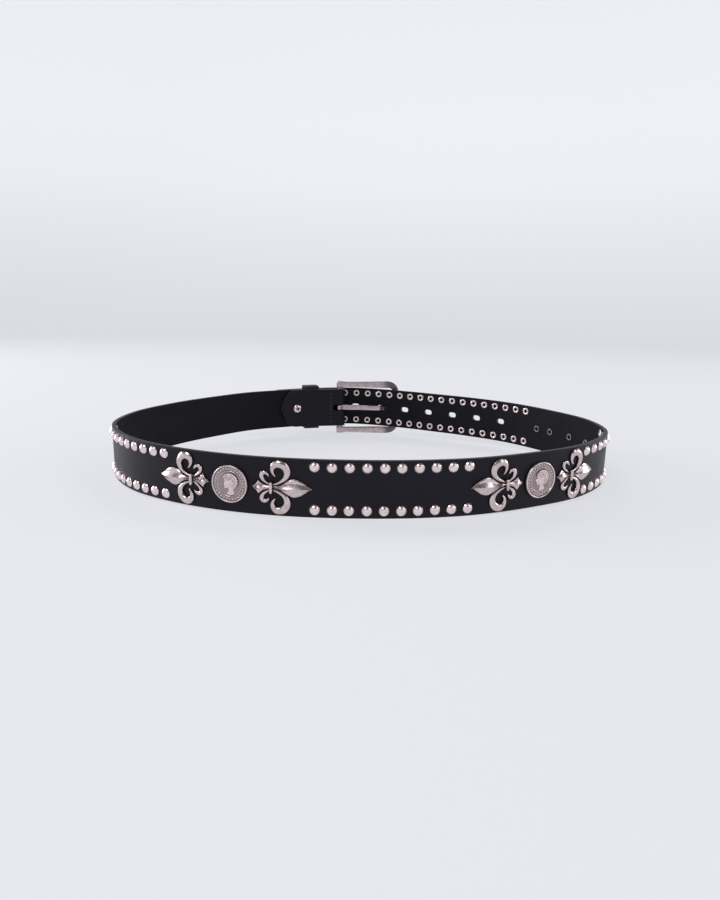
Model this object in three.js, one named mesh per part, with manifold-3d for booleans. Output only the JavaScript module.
// A studded leather belt, fastened into a loop and standing on its lower edge.
// Millimetres, +Z up. The front of the loop faces -Y and the buckle is at the back.
// Places on the belt are given along the strap, from the buckle's heel bar round by the
// left side, the front and the right side back to the bar, and as a lift outwards.

import * as THREE from 'three';
import { mergeGeometries, mergeVertices } from 'three/addons/utils/BufferGeometryUtils.js';
import Module from 'manifold-3d';

const wasm = await Module();
wasm.setup();

// Driving dimensions of the loop and its leather.
const loopWidth = 381;
const loopDepth = 296;
const strapWidth = 38;
const leather = 3;
const clearance = 0.3;
const strapStep = 15;
const layeredStep = 5;

// The strap's middle line seen from above, as shares of the loop's width and depth.
// It starts at the heel bar and goes round by the left side.
const loopRows = [
  { across: -0.058, back: 1.0 },
  { across: -0.126, back: 0.982 },
  { across: -0.198, back: 0.945 },
  { across: -0.291, back: 0.882 },
  { across: -0.371, back: 0.779 },
  { across: -0.443, back: 0.651 },
  { across: -0.493, back: 0.506 },
  { across: -0.495, back: 0.346 },
  { across: -0.429, back: 0.196 },
  { across: -0.322, back: 0.094 },
  { across: -0.176, back: 0.025 },
  { across: 0, back: 0.005 },
  { across: 0.172, back: 0.034 },
  { across: 0.31, back: 0.109 },
  { across: 0.418, back: 0.203 },
  { across: 0.495, back: 0.351 },
  { across: 0.496, back: 0.511 },
  { across: 0.442, back: 0.651 },
  { across: 0.368, back: 0.772 },
  { across: 0.278, back: 0.861 },
  { across: 0.187, back: 0.928 },
  { across: 0.136, back: 0.963 },
  { across: 0.086, back: 0.989 },
  { across: 0.011, back: 1.003 },
];

// The fold-back round the heel bar, the tail past the bar, and the keeper.
const foldBackLength = 62;
const foldBackRound = 16;
const tailLength = 82;
const tailPoint = 22;
const tipHeightLeft = 0.24;
const tipSteps = 5;
const foldTurns = 8;
const layersMeet = 43;
// How far the strap's middle is pushed outwards from the loop's line at the buckle.
const strapPushBar = 5.5;
const strapPushKeeper = 3.6;
const strapPushEnd = 2.4;
const layersPart = 130;
const tailSettles = 72;
const keeperAt = 29;
const keeperWidth = 15;
const keeperLeather = 1.5;
const keeperOver = 3;
const keeperBevel = 0.9;

// The studs, in two rows. A stud's riveted back takes some room inside the strap.
const studRadius = 3.5;
const studHeight = 2;
const studSides = 10;
const studSink = 0.5;
const studShoulder = { radius: 0.7, height: 0.72 };
const rowInset = 5;
const leftStudPitch = 10.3;
const studPitch = 11.05;
const tailStudPitch = 11.45;
const leftStuds = 10;
const rivetBackHeight = 0.8;

// The belt's holes. The prong is in one of them, one lies beyond it and the rest before it.
const holeLength = 8;
const holeHeight = 5.2;
const holeSides = 10;
const holePitch = 26;
const holesBeyondProng = 1;
const holesBeforeProng = 5;

// The buckle: bar, frame and prong.
const barRadius = 2.2;
const barSides = 10;
const toeReach = 55.7;
const prongHoleReach = 43;
const frameGap = 1.6;
const frameHeel = 3;
const railHeight = 6.4;
const railThick = 4.4;
const toeRound = 8;
const toeSteps = 4;
const toeThinning = 0.15;
const sectionFlat = 0.55;
const slotHeight = 7.2;
const slotReach = 7.5;
const prongWidth = 5.4;
const prongTipWidth = 3.4;
const prongThick = 2.2;
const prongOver = 5;
const prongSlope = 58;
const prongSlantShare = 0.8;
const prongSteps = 12;
const prongEyeThick = 1.4;

// The rivet through the fold-back.
const rivetAt = 45;
const rivetRadius = 4.4;
const rivetPost = 1.8;
const rivetDome = 2.2;
const rivetDimple = 1.1;
const rivetShoulder = { radius: 0.75, height: 0.7 };
const rivetFlat = 0.5;
const rivetFlatRadius = 2.8;
const rivetSides = 10;

// The ornaments: a medallion between two fleurs, in each of three sets.
const fleurSpacing = 28;
const fleurLength = 26.2;
const fleurReach = 17.9;
const fleurSide = 12.2;
const fleurEdge = 0.9;
const fleurRidge = 2.8;
const scrollFlat = 0.75;
const scrollSwell = 0.65;
const bandHeight = 7.7;
const bandWidth = 2;
const bandThick = 3.2;
const medallionRadius = 12.6;
const medallionThick = 1.2;
const medallionRim = 0.6;
const medallionRimWidth = 1.1;
const medallionSides = 18;
const reliefHeight = 0.7;
const ringRadius = 8.6;
const setPlaces = [0.4034, 0.6018, 0.7603];

// How far the nearest stud of each group lies from the middle of a set.
const frontStudsFromSet = 52;
const rightStudsFromSet = 47.1;
const tailStudsFromSet = 53;

const blackLeather = { color: 0x1f1e23, roughness: 0.5, metalness: 0 };
const softLeather = { color: 0x2c2b30, roughness: 0.6, metalness: 0 };
const antiqueSilver = { color: 0xa0959a, roughness: 0.38, metalness: 1 };

const middle = strapWidth / 2;
const up = new THREE.Vector3(0, 0, 1);
const weldDistance = 1e-4;

const loopLine = new THREE.CatmullRomCurve3(
  loopRows.map((row) => new THREE.Vector3(row.across * loopWidth, row.back * loopDepth, 0)),
  true,
  'centripetal',
);
loopLine.arcLengthDivisions = 2000;
const loopLength = loopLine.getLength();

// The place at a distance along the strap, lifted outwards from the loop's middle line.
function onLoop(along, lift) {
  const share = THREE.MathUtils.euclideanModulo(along / loopLength, 1);
  const ahead = loopLine.getTangentAt(share);
  const outward = new THREE.Vector3(ahead.y, -ahead.x, 0).normalize();
  const point = loopLine.getPointAt(share).addScaledVector(outward, lift);
  return { point, ahead, outward };
}

// Smooth steps through rows of a distance and the lift there.
function liftThrough(rows, along) {
  if (along <= rows[0].along) {
    return rows[0].lift;
  }
  for (let row = 1; row < rows.length; row += 1) {
    if (along <= rows[row].along) {
      const share = THREE.MathUtils.smoothstep(along, rows[row - 1].along, rows[row].along);
      return THREE.MathUtils.lerp(rows[row - 1].lift, rows[row].lift, share);
    }
  }
  return rows[rows.length - 1].lift;
}

// How the layers lie over each other at the buckle. The fold-back lies inside the strap, with the
// bar and the keeper between them, and the tail lies outside the strap.
const foldRadius = barRadius + clearance + leather / 2;
const barLift = strapPushBar - foldRadius;
const layerStep = leather + clearance;
const tailStep = layerStep + rivetBackHeight;
const keeperStep = layerStep + keeperLeather + 2 * clearance;
const keeperEnd = keeperAt + keeperWidth / 2;
const strapLifts = [
  { along: 0, lift: strapPushBar },
  { along: keeperEnd, lift: strapPushKeeper },
  { along: foldBackLength, lift: strapPushEnd },
  { along: layersPart, lift: 0 },
];
const foldSteps = [
  { along: 0, lift: 2 * foldRadius },
  { along: keeperEnd, lift: keeperStep },
  { along: layersMeet, lift: layerStep },
];
const tailLifts = [
  { along: -tailSettles, lift: 0 },
  { along: 0, lift: strapPushBar + tailStep },
];
const tailToeLift = liftThrough(tailLifts, -toeReach);
const toeLift = tailToeLift + leather / 2 + studHeight + clearance + railThick / 2;

function strapLift(along) {
  const beforeBar = along - loopLength;
  if (beforeBar > 0) {
    return liftThrough(strapLifts, beforeBar) + tailStep;
  }
  if (beforeBar > -tailSettles) {
    return liftThrough(tailLifts, beforeBar);
  }
  return liftThrough(strapLifts, along);
}

function foldBackLift(along) {
  return liftThrough(strapLifts, along) - liftThrough(foldSteps, along);
}

// The rigid buckle's own axes: along from the heel bar to the toe, and out.
const heel = onLoop(0, 0).point;
const toeDirection = onLoop(-toeReach, 0).point.sub(heel).normalize();
const buckleOut = new THREE.Vector3().crossVectors(toeDirection, up).negate();

function onBuckle(along, lift, height) {
  const point = heel.clone().addScaledVector(toeDirection, along);
  return point.addScaledVector(buckleOut, lift).setZ(height);
}

// A closed body through rings of corners, with flat ends.
function loft(rings) {
  const corners = rings[0].length;
  const last = (rings.length - 1) * corners;
  const index = [];
  for (let ring = 0; ring < last; ring += corners) {
    for (let side = 0; side < corners; side += 1) {
      const here = ring + side;
      const next = ring + ((side + 1) % corners);
      index.push(here, next, next + corners);
      index.push(here, next + corners, here + corners);
    }
  }
  for (let side = 1; side + 1 < corners; side += 1) {
    index.push(0, side + 1, side);
    index.push(last, last + side, last + side + 1);
  }
  const geometry = new THREE.BufferGeometry().setFromPoints(rings.flat());
  geometry.setIndex(index);
  return geometry;
}

function toSolid(geometry) {
  const bare = geometry.clone();
  bare.deleteAttribute('normal');
  bare.deleteAttribute('uv');
  const merged = mergeVertices(bare, weldDistance);
  return new wasm.Manifold(new wasm.Mesh({
    numProp: 3,
    vertProperties: new Float32Array(merged.attributes.position.array),
    triVerts: new Uint32Array(merged.index.array),
  }));
}

function toGeometry(solid) {
  const mesh = solid.getMesh();
  const geometry = new THREE.BufferGeometry();
  geometry.setAttribute('position', new THREE.BufferAttribute(mesh.vertProperties, 3));
  geometry.setIndex(new THREE.BufferAttribute(mesh.triVerts, 1));
  geometry.computeVertexNormals();
  return geometry;
}

function joined(geometries) {
  return geometries.map(toSolid).reduce((whole, solid) => whole.add(solid));
}

// A mesh with a name and a material.
function piece(name, geometry, look) {
  const mesh = new THREE.Mesh(geometry, new THREE.MeshStandardMaterial(look));
  mesh.name = name;
  return mesh;
}

// Turns a shape drawn with x along the strap, y up and z outwards onto the strap.
function seatOnStrap(along, lift, height) {
  const place = onLoop(along, lift);
  const right = new THREE.Vector3().crossVectors(up, place.outward);
  const matrix = new THREE.Matrix4().makeBasis(right, up, place.outward);
  return matrix.setPosition(place.point.x, place.point.y, height);
}

// One ring of the strap's cross-section, with its height as a share of the width.
function strapRing(point, outward, heightShare) {
  const inner = point.clone().addScaledVector(outward, -leather / 2);
  const outer = point.clone().addScaledVector(outward, leather / 2);
  const low = middle * (1 - heightShare);
  const high = middle * (1 + heightShare);
  return [
    inner.clone().setZ(low),
    inner.clone().setZ(high),
    outer.clone().setZ(high),
    outer.clone().setZ(low),
  ];
}

// The rounded end of a strap: distances back from its tip and the height left there.
function tipRows(length) {
  const rows = [];
  const fullTurn = Math.acos(tipHeightLeft);
  for (let step = 0; step <= tipSteps; step += 1) {
    const turn = (step / tipSteps) * fullTurn;
    const back = length * (1 - Math.sin(turn) / Math.sin(fullTurn));
    rows.push({ back, height: Math.cos(turn) });
  }
  return rows.reverse();
}

function strapBody() {
  const rings = [];
  for (const row of tipRows(foldBackRound)) {
    const along = foldBackLength - row.back;
    const place = onLoop(along, foldBackLift(along));
    rings.push(strapRing(place.point, place.outward.clone().negate(), row.height));
  }
  const plainLength = foldBackLength - foldBackRound;
  const plainSteps = Math.round(plainLength / layeredStep);
  for (let step = 1; step < plainSteps; step += 1) {
    const along = plainLength * (1 - step / plainSteps);
    const place = onLoop(along, foldBackLift(along));
    rings.push(strapRing(place.point, place.outward.clone().negate(), 1));
  }
  for (let step = 0; step <= foldTurns; step += 1) {
    const turn = Math.PI * (step / foldTurns);
    const outward = buckleOut.clone().multiplyScalar(-Math.cos(turn));
    outward.addScaledVector(toeDirection, Math.sin(turn));
    const point = onBuckle(0, barLift, 0).addScaledVector(outward, foldRadius);
    rings.push(strapRing(point, outward, 1));
  }
  const stretches = [
    { from: 0, to: foldBackLength, step: layeredStep },
    { from: foldBackLength, to: loopLength - toeReach, step: strapStep },
    { from: loopLength - toeReach, to: loopLength + tailLength - tailPoint, step: layeredStep },
  ];
  for (const stretch of stretches) {
    const length = stretch.to - stretch.from;
    const steps = Math.round(length / stretch.step);
    for (let step = 1; step <= steps; step += 1) {
      const along = stretch.from + length * (step / steps);
      const place = onLoop(along, strapLift(along));
      rings.push(strapRing(place.point, place.outward, 1));
    }
  }
  for (const row of tipRows(tailPoint).reverse().slice(1)) {
    const along = loopLength + tailLength - row.back;
    const place = onLoop(along, strapLift(along));
    rings.push(strapRing(place.point, place.outward, row.height));
  }
  return loft(rings);
}

function dome() {
  const slope = (1 - studShoulder.radius) / (studShoulder.height * studHeight);
  const profile = [
    new THREE.Vector2(0, -studSink),
    new THREE.Vector2(studRadius * (1 + slope * studSink), -studSink),
    new THREE.Vector2(studRadius * studShoulder.radius, studHeight * studShoulder.height),
    new THREE.Vector2(0, studHeight),
  ];
  return new THREE.LatheGeometry(profile, studSides).rotateX(Math.PI / 2);
}

// The groups of studs lie between the sets of ornaments, and the last one goes on along the tail.
function studGroups() {
  const [first, second, third] = setPlaces.map((share) => share * loopLength);
  const fitting = (from, to, pitch) => Math.floor((to - from) / pitch) + 1;
  const leftFrom = first - frontStudsFromSet - (leftStuds - 1) * leftStudPitch;
  const frontEnd = second - frontStudsFromSet;
  const frontCount = fitting(first + frontStudsFromSet, frontEnd, studPitch);
  const frontFrom = (first + second - (frontCount - 1) * studPitch) / 2;
  const rightFrom = second + rightStudsFromSet;
  const rightEnd = third - fleurSpacing - fleurSide - studRadius - clearance;
  const tailFrom = third + tailStudsFromSet;
  const tailEnd = loopLength + tailLength - tailPoint - studRadius;
  return [
    { from: leftFrom, count: leftStuds, pitch: leftStudPitch },
    { from: frontFrom, count: frontCount, pitch: studPitch },
    { from: rightFrom, count: fitting(rightFrom, rightEnd, tailStudPitch), pitch: tailStudPitch },
    { from: tailFrom, count: fitting(tailFrom, tailEnd, tailStudPitch), pitch: tailStudPitch },
  ];
}

function studRows() {
  const domes = [];
  for (const group of studGroups()) {
    for (let number = 0; number < group.count; number += 1) {
      const along = group.from + number * group.pitch;
      const lift = strapLift(along) + leather / 2;
      for (const height of [rowInset, strapWidth - rowInset]) {
        domes.push(dome().applyMatrix4(seatOnStrap(along, lift, height)));
      }
    }
  }
  return mergeGeometries(domes);
}

// A cutter with round ends, x along the strap and z outwards.
function roundEnded(length, height, depth) {
  const round = height / 2;
  const straight = length / 2 - round;
  const shape = new THREE.Shape();
  shape.absarc(straight, 0, round, -Math.PI / 2, Math.PI / 2);
  shape.absarc(-straight, 0, round, Math.PI / 2, 1.5 * Math.PI);
  const options = { depth, steps: 1, curveSegments: holeSides / 2, bevelEnabled: false };
  return new THREE.ExtrudeGeometry(shape, options).translate(0, 0, -depth / 2);
}

function beltHoles() {
  const cutters = [];
  for (let number = -holesBeyondProng; number <= holesBeforeProng; number += 1) {
    const along = loopLength - prongHoleReach - number * holePitch;
    const cutter = roundEnded(holeLength, holeHeight, 2 * leather);
    cutters.push(cutter.applyMatrix4(seatOnStrap(along, strapLift(along), middle)));
  }
  return mergeGeometries(cutters);
}

// The slot in the fold, through both layers, in which the prong's eye turns.
function foldSlot() {
  const depth = 2 * foldRadius + leather + 2 * clearance;
  const cutter = roundEnded(2 * slotReach, slotHeight, depth);
  const matrix = new THREE.Matrix4().makeBasis(toeDirection.clone().negate(), up, buckleOut);
  return cutter.applyMatrix4(matrix.setPosition(onBuckle(0, barLift, middle)));
}

function rivetHole() {
  const radius = rivetPost + clearance;
  const depth = 4 * leather;
  const reach = strapLift(rivetAt) + leather / 2 + clearance;
  const cutter = new THREE.CylinderGeometry(radius, radius, depth, rivetSides);
  cutter.rotateX(Math.PI / 2).translate(0, 0, reach - depth / 2);
  return cutter.applyMatrix4(seatOnStrap(rivetAt, 0, middle));
}

function makeStrap() {
  let strap = toSolid(strapBody());
  for (const cutter of [beltHoles(), foldSlot(), rivetHole()]) {
    strap = strap.subtract(toSolid(cutter));
  }
  return piece('strap', toGeometry(strap.add(toSolid(studRows()))), blackLeather);
}

// An eight-cornered section round a point, with its two half sizes.
function eightSided(point, side, out, halfSide, halfOut) {
  const corners = [
    [1, -sectionFlat], [sectionFlat, -1], [-sectionFlat, -1], [-1, -sectionFlat],
    [-1, sectionFlat], [-sectionFlat, 1], [sectionFlat, 1], [1, sectionFlat],
  ];
  return corners.map(([across, outwards]) => {
    const corner = point.clone().addScaledVector(side, across * halfSide);
    return corner.addScaledVector(out, outwards * halfOut);
  });
}

// The frame's rail: its height as a share, and how far it has risen from bar to toe.
const railRows = [
  { along: -1, height: 1.1, rise: 0 },
  { along: 0.03, height: 1, rise: 0 },
  { along: 0.1, height: 0.86, rise: 0.1 },
  { along: 0.4, height: 0.86, rise: 0.5 },
  { along: 0.7, height: 1, rise: 0.9 },
  { along: 1, height: 1, rise: 1 },
];

function makeFrame() {
  const railMiddle = frameGap + railHeight / 2;
  const straight = toeReach + railThick / 2 - toeRound;
  const half = [];
  for (const row of railRows) {
    const along = row.along < 0 ? -frameHeel : row.along * straight;
    const lift = THREE.MathUtils.lerp(barLift, toeLift, row.rise);
    half.push({ along, drop: railMiddle, turn: 0, lift, height: row.height });
  }
  for (let step = 1; step <= toeSteps; step += 1) {
    const turn = (Math.PI / 2) * (step / toeSteps);
    const along = straight + toeRound * Math.sin(turn);
    const drop = railMiddle - toeRound * (1 - Math.cos(turn));
    half.push({ along, drop, turn, lift: toeLift, height: 1 - toeThinning * (step / toeSteps) });
  }
  const ring = (row, height, sign) => {
    const point = onBuckle(row.along, row.lift, height);
    const side = toeDirection.clone().multiplyScalar(-Math.sin(row.turn));
    side.addScaledVector(up, sign * Math.cos(row.turn));
    return eightSided(point, side, buckleOut, (railHeight / 2) * row.height, railThick / 2);
  };
  const lower = half.map((row) => ring(row, -row.drop, 1));
  const upper = half.map((row) => ring(row, strapWidth + row.drop, -1));
  const rim = loft([...lower, ...upper.reverse()]);
  const barLength = strapWidth + 2 * railMiddle;
  const bar = new THREE.CylinderGeometry(barRadius, barRadius, barLength, barSides);
  const barPlace = onBuckle(0, barLift, middle);
  bar.rotateX(Math.PI / 2).translate(barPlace.x, barPlace.y, barPlace.z);
  return piece('buckle_frame', toGeometry(joined([rim, bar])), antiqueSilver);
}

// The prong: an eye round the bar, a flat shaft, and a bend out through the belt's hole.
function makeProng() {
  const eyeInner = barRadius + clearance;
  const eyeOuter = eyeInner + prongEyeThick;
  const profile = [
    new THREE.Vector2(eyeInner, -prongWidth / 2),
    new THREE.Vector2(eyeOuter, -prongWidth / 2),
    new THREE.Vector2(eyeOuter, prongWidth / 2),
    new THREE.Vector2(eyeInner, prongWidth / 2),
    new THREE.Vector2(eyeInner, -prongWidth / 2),
  ];
  const eye = new THREE.LatheGeometry(profile, rivetSides).rotateX(Math.PI / 2);
  const eyePlace = onBuckle(0, barLift, middle);
  eye.translate(eyePlace.x, eyePlace.y, eyePlace.z);
  const holeLift = strapLift(loopLength - prongHoleReach);
  const insideLift = holeLift - leather / 2 - clearance - prongThick / 2;
  const overLift = toeLift + railThick / 2 + clearance + prongThick / 2;
  const holeRun = holeLength / 2 + 2 * prongThick;
  const slope = THREE.MathUtils.degToRad(prongSlope);
  const slant = prongSlantShare * leather;
  const path = new THREE.CatmullRomCurve3([
    onBuckle(eyeInner + prongEyeThick / 2, barLift - prongThick / 2, middle),
    onBuckle(prongHoleReach / 2, (barLift + insideLift) / 2 - clearance, middle),
    onBuckle(prongHoleReach - holeRun, insideLift - clearance, middle),
    onBuckle(prongHoleReach - slant * Math.cos(slope), holeLift - slant * Math.sin(slope), middle),
    onBuckle(prongHoleReach + slant * Math.cos(slope), holeLift + slant * Math.sin(slope), middle),
    onBuckle(toeReach - railThick / 2, overLift - prongThick / 4, middle),
    onBuckle(toeReach + prongOver, overLift, middle),
  ]);
  const rings = [];
  for (let step = 0; step <= prongSteps; step += 1) {
    const share = step / prongSteps;
    const point = path.getPointAt(share);
    const out = new THREE.Vector3().crossVectors(path.getTangentAt(share), up).negate().normalize();
    const width = THREE.MathUtils.lerp(prongWidth, prongTipWidth, share);
    const thick = step < prongSteps ? prongThick : prongThick / 2;
    rings.push(eightSided(point, up, out, width / 2, thick / 2));
  }
  return piece('prong', toGeometry(joined([eye, loft(rings)])), antiqueSilver);
}

// The keeper's loop, closed round the strap and the tail.
function makeKeeper() {
  const lowLift = foldBackLift(keeperAt) + leather / 2 + clearance;
  const openLow = lowLift + keeperLeather;
  const openHigh = strapLift(loopLength + keeperAt) + leather / 2 + studHeight + 2 * clearance;
  const highLift = openHigh + keeperLeather;
  const reach = middle + keeperOver;
  const open = reach - keeperLeather;
  const outer = new THREE.Shape([
    new THREE.Vector2(-reach + keeperBevel, lowLift),
    new THREE.Vector2(reach - keeperBevel, lowLift),
    new THREE.Vector2(reach, lowLift + keeperBevel),
    new THREE.Vector2(reach, highLift - keeperBevel),
    new THREE.Vector2(reach - keeperBevel, highLift),
    new THREE.Vector2(-reach + keeperBevel, highLift),
    new THREE.Vector2(-reach, highLift - keeperBevel),
    new THREE.Vector2(-reach, lowLift + keeperBevel),
  ]);
  outer.holes.push(new THREE.Path([
    new THREE.Vector2(-open, openLow),
    new THREE.Vector2(-open, openHigh),
    new THREE.Vector2(open, openHigh),
    new THREE.Vector2(open, openLow),
  ]));
  const options = { depth: keeperWidth, steps: 1, bevelEnabled: false };
  const geometry = new THREE.ExtrudeGeometry(outer, options);
  geometry.translate(0, 0, -keeperWidth / 2);
  const place = onLoop(keeperAt, 0);
  const matrix = new THREE.Matrix4().makeBasis(up, place.outward, place.ahead);
  geometry.applyMatrix4(matrix.setPosition(place.point.x, place.point.y, middle));
  return piece('keeper', toGeometry(toSolid(geometry)), softLeather);
}

function makeRivet() {
  const outside = strapLift(rivetAt - rivetFlatRadius) + leather / 2 + clearance / 2;
  const inside = foldBackLift(rivetAt + rivetRadius) - leather / 2 - clearance;
  const profile = [
    new THREE.Vector2(0, inside - rivetDome + rivetDimple),
    new THREE.Vector2(rivetDimple, inside - rivetDome + rivetDimple),
    new THREE.Vector2(rivetDimple, inside - rivetDome),
    new THREE.Vector2(rivetRadius * rivetShoulder.radius, inside - rivetDome * rivetShoulder.height),
    new THREE.Vector2(rivetRadius, inside),
    new THREE.Vector2(rivetPost, inside),
    new THREE.Vector2(rivetPost, outside),
    new THREE.Vector2(rivetFlatRadius, outside),
    new THREE.Vector2(rivetFlatRadius, outside + rivetFlat),
    new THREE.Vector2(0, outside + rivetFlat),
  ];
  const geometry = new THREE.LatheGeometry(profile, rivetSides).rotateX(Math.PI / 2);
  geometry.applyMatrix4(seatOnStrap(rivetAt, 0, middle));
  return piece('chape_rivet', toGeometry(toSolid(geometry)), antiqueSilver);
}

// A fleur is drawn with x along its leaf, y up and z outwards, and its band at the middle.
// The leaf and the foot: places and half heights as shares of the leaf's length, with a ridge.
const leafRows = [
  { along: 0, half: 0.04, ridge: 0.62 },
  { along: 0.17, half: 0.046, ridge: 0.7 },
  { along: 0.3, half: 0.115, ridge: 0.85 },
  { along: 0.43, half: 0.2, ridge: 0.95 },
  { along: 0.56, half: 0.224, ridge: 1 },
  { along: 0.74, half: 0.17, ridge: 0.9 },
  { along: 0.9, half: 0.07, ridge: 0.7 },
  { along: 1, half: 0.008, ridge: 0.42 },
];
const footRows = [
  { along: 0, half: 0.05, ridge: 0.62 },
  { along: -0.2, half: 0.065, ridge: 0.7 },
  { along: -0.33, half: 0.168, ridge: 0.85 },
  { along: -0.39, half: 0.08, ridge: 0.75 },
  { along: -0.5, half: 0.012, ridge: 0.6 },
];

// The scrolls' middle lines, as shares of the leaf's length and of the scroll's reach,
// with half widths as shares of the leaf's length.
const bigScroll = [
  { along: 0.03, rise: 0.1, half: 0.028 },
  { along: 0.23, rise: 0.21, half: 0.04 },
  { along: 0.36, rise: 0.42, half: 0.075 },
  { along: 0.365, rise: 0.64, half: 0.088 },
  { along: 0.22, rise: 0.85, half: 0.1 },
  { along: 0.07, rise: 0.77, half: 0.075 },
  { along: 0.09, rise: 0.42, half: 0.016 },
];
const smallScroll = [
  { along: -0.03, rise: 0.1, half: 0.024 },
  { along: -0.17, rise: 0.22, half: 0.036 },
  { along: -0.24, rise: 0.38, half: 0.05 },
  { along: -0.215, rise: 0.485, half: 0.05 },
  { along: -0.14, rise: 0.5, half: 0.046 },
  { along: -0.07, rise: 0.41, half: 0.016 },
];

function ridgedBlade(rows) {
  const rings = rows.map((row) => {
    const x = row.along * fleurLength;
    const half = row.half * fleurLength;
    const top = row.ridge * fleurRidge;
    const ring = [[-half, 0], [half, 0], [half, fleurEdge], [0, top], [-half, fleurEdge]];
    return ring.map(([y, z]) => new THREE.Vector3(x, y, z));
  });
  const forward = rows[1].along > rows[0].along;
  return loft(forward ? rings : rings.map((ring) => ring.reverse()));
}

function scroll(rows, sign) {
  const points = rows.map((row) => (
    new THREE.Vector3(row.along * fleurLength, sign * row.rise * fleurReach, 0)
  ));
  const rings = rows.map((row, number) => {
    const before = points[Math.max(number - 1, 0)];
    const after = points[Math.min(number + 1, points.length - 1)];
    const ahead = after.clone().sub(before).normalize();
    const side = new THREE.Vector3(-ahead.y, ahead.x, 0);
    const half = row.half * fleurLength;
    const top = fleurEdge + half * scrollSwell;
    const ring = [[-1, 0], [-scrollFlat, top], [scrollFlat, top], [1, 0]];
    return ring.map(([across, z]) => (
      points[number].clone().addScaledVector(side, across * half).setZ(z)
    ));
  });
  return loft(rings.map((ring) => ring.reverse()));
}

// Bends a drawn part round the strap's outer face, with its middle at a place along the strap.
function bendOnStrap(geometry, along, turned) {
  const bent = geometry.clone();
  if (turned) {
    bent.rotateZ(Math.PI);
  }
  const corners = bent.attributes.position;
  for (let number = 0; number < corners.count; number += 1) {
    const place = along + corners.getX(number);
    const lift = strapLift(place) + leather / 2 + clearance + corners.getZ(number);
    const { point } = onLoop(place, lift);
    corners.setXYZ(number, point.x, point.y, middle + corners.getY(number));
  }
  return bent;
}

// A fleur is bent part by part and then joined, so that it lies close to the strap.
function fleurGeometry(along, turned) {
  const band = new THREE.BoxGeometry(bandWidth, bandHeight, bandThick).translate(0, 0, bandThick / 2);
  const parts = [ridgedBlade(leafRows), ridgedBlade(footRows), band];
  for (const sign of [1, -1]) {
    parts.push(scroll(bigScroll, sign), scroll(smallScroll, sign));
  }
  return toGeometry(joined(parts.map((part) => bendOnStrap(part, along, turned))));
}

// A plain classical head in profile, in shares of the inner ring's radius.
const headOutline = [
  { x: -0.12, y: -0.86 },
  { x: -0.16, y: -0.56 },
  { x: -0.44, y: -0.52 },
  { x: -0.5, y: -0.36 },
  { x: -0.46, y: -0.26 },
  { x: -0.52, y: -0.18 },
  { x: -0.49, y: -0.04 },
  { x: -0.64, y: 0.02 },
  { x: -0.5, y: 0.26 },
  { x: -0.5, y: 0.5 },
  { x: -0.3, y: 0.78 },
  { x: 0.1, y: 0.86 },
  { x: 0.5, y: 0.7 },
  { x: 0.68, y: 0.36 },
  { x: 0.62, y: -0.06 },
  { x: 0.44, y: -0.32 },
  { x: 0.42, y: -0.62 },
  { x: 0.52, y: -0.82 },
];

function medallionGeometry() {
  const field = medallionThick;
  const rim = medallionThick + medallionRim;
  const profile = [
    new THREE.Vector2(0, 0),
    new THREE.Vector2(medallionRadius, 0),
    new THREE.Vector2(medallionRadius, field),
    new THREE.Vector2(medallionRadius - medallionRimWidth / 2, rim),
    new THREE.Vector2(medallionRadius - medallionRimWidth, rim),
    new THREE.Vector2(medallionRadius - 1.5 * medallionRimWidth, field),
    new THREE.Vector2(0, field),
  ];
  const disc = new THREE.LatheGeometry(profile, medallionSides).rotateX(Math.PI / 2);
  const outline = headOutline.map(({ x, y }) => new THREE.Vector2(x * ringRadius, y * ringRadius));
  const options = { depth: field / 2 + reliefHeight, steps: 1, bevelEnabled: false };
  const head = new THREE.ExtrudeGeometry(new THREE.Shape(outline), options).translate(0, 0, field / 2);
  return toGeometry(joined([disc, head]));
}

// A medallion is flat, and tangent to the strap's outer face.
function makeOrnaments() {
  const pieces = [];
  const medallion = medallionGeometry();
  setPlaces.forEach((share, number) => {
    const at = share * loopLength;
    const left = fleurGeometry(at - fleurSpacing, true);
    const right = fleurGeometry(at + fleurSpacing, false);
    const lift = strapLift(at) + leather / 2 + clearance;
    const centre = medallion.clone().applyMatrix4(seatOnStrap(at, lift, middle));
    pieces.push(piece(`fleur_${2 * number + 1}`, left, antiqueSilver));
    pieces.push(piece(`medallion_${number + 1}`, centre, antiqueSilver));
    pieces.push(piece(`fleur_${2 * number + 2}`, right, antiqueSilver));
  });
  return pieces;
}

// The belt stands on the front's lower edge and on the frame's lower rail, so it leans a little.
const frameDrop = frameGap + (railHeight / 2) * (1 + railRows[0].height);
const belt = new THREE.Group();
belt.add(makeStrap(), makeFrame(), makeProng(), makeKeeper(), makeRivet(), ...makeOrnaments());
belt.rotation.x = Math.atan2(frameDrop, heel.y + barLift);

const group = new THREE.Group();
group.add(belt);
group.updateMatrixWorld(true);
const bounds = new THREE.Box3().setFromObject(belt, true);
const centre = bounds.getCenter(new THREE.Vector3());
belt.position.set(-centre.x, -centre.y, -bounds.min.z);

export default group;
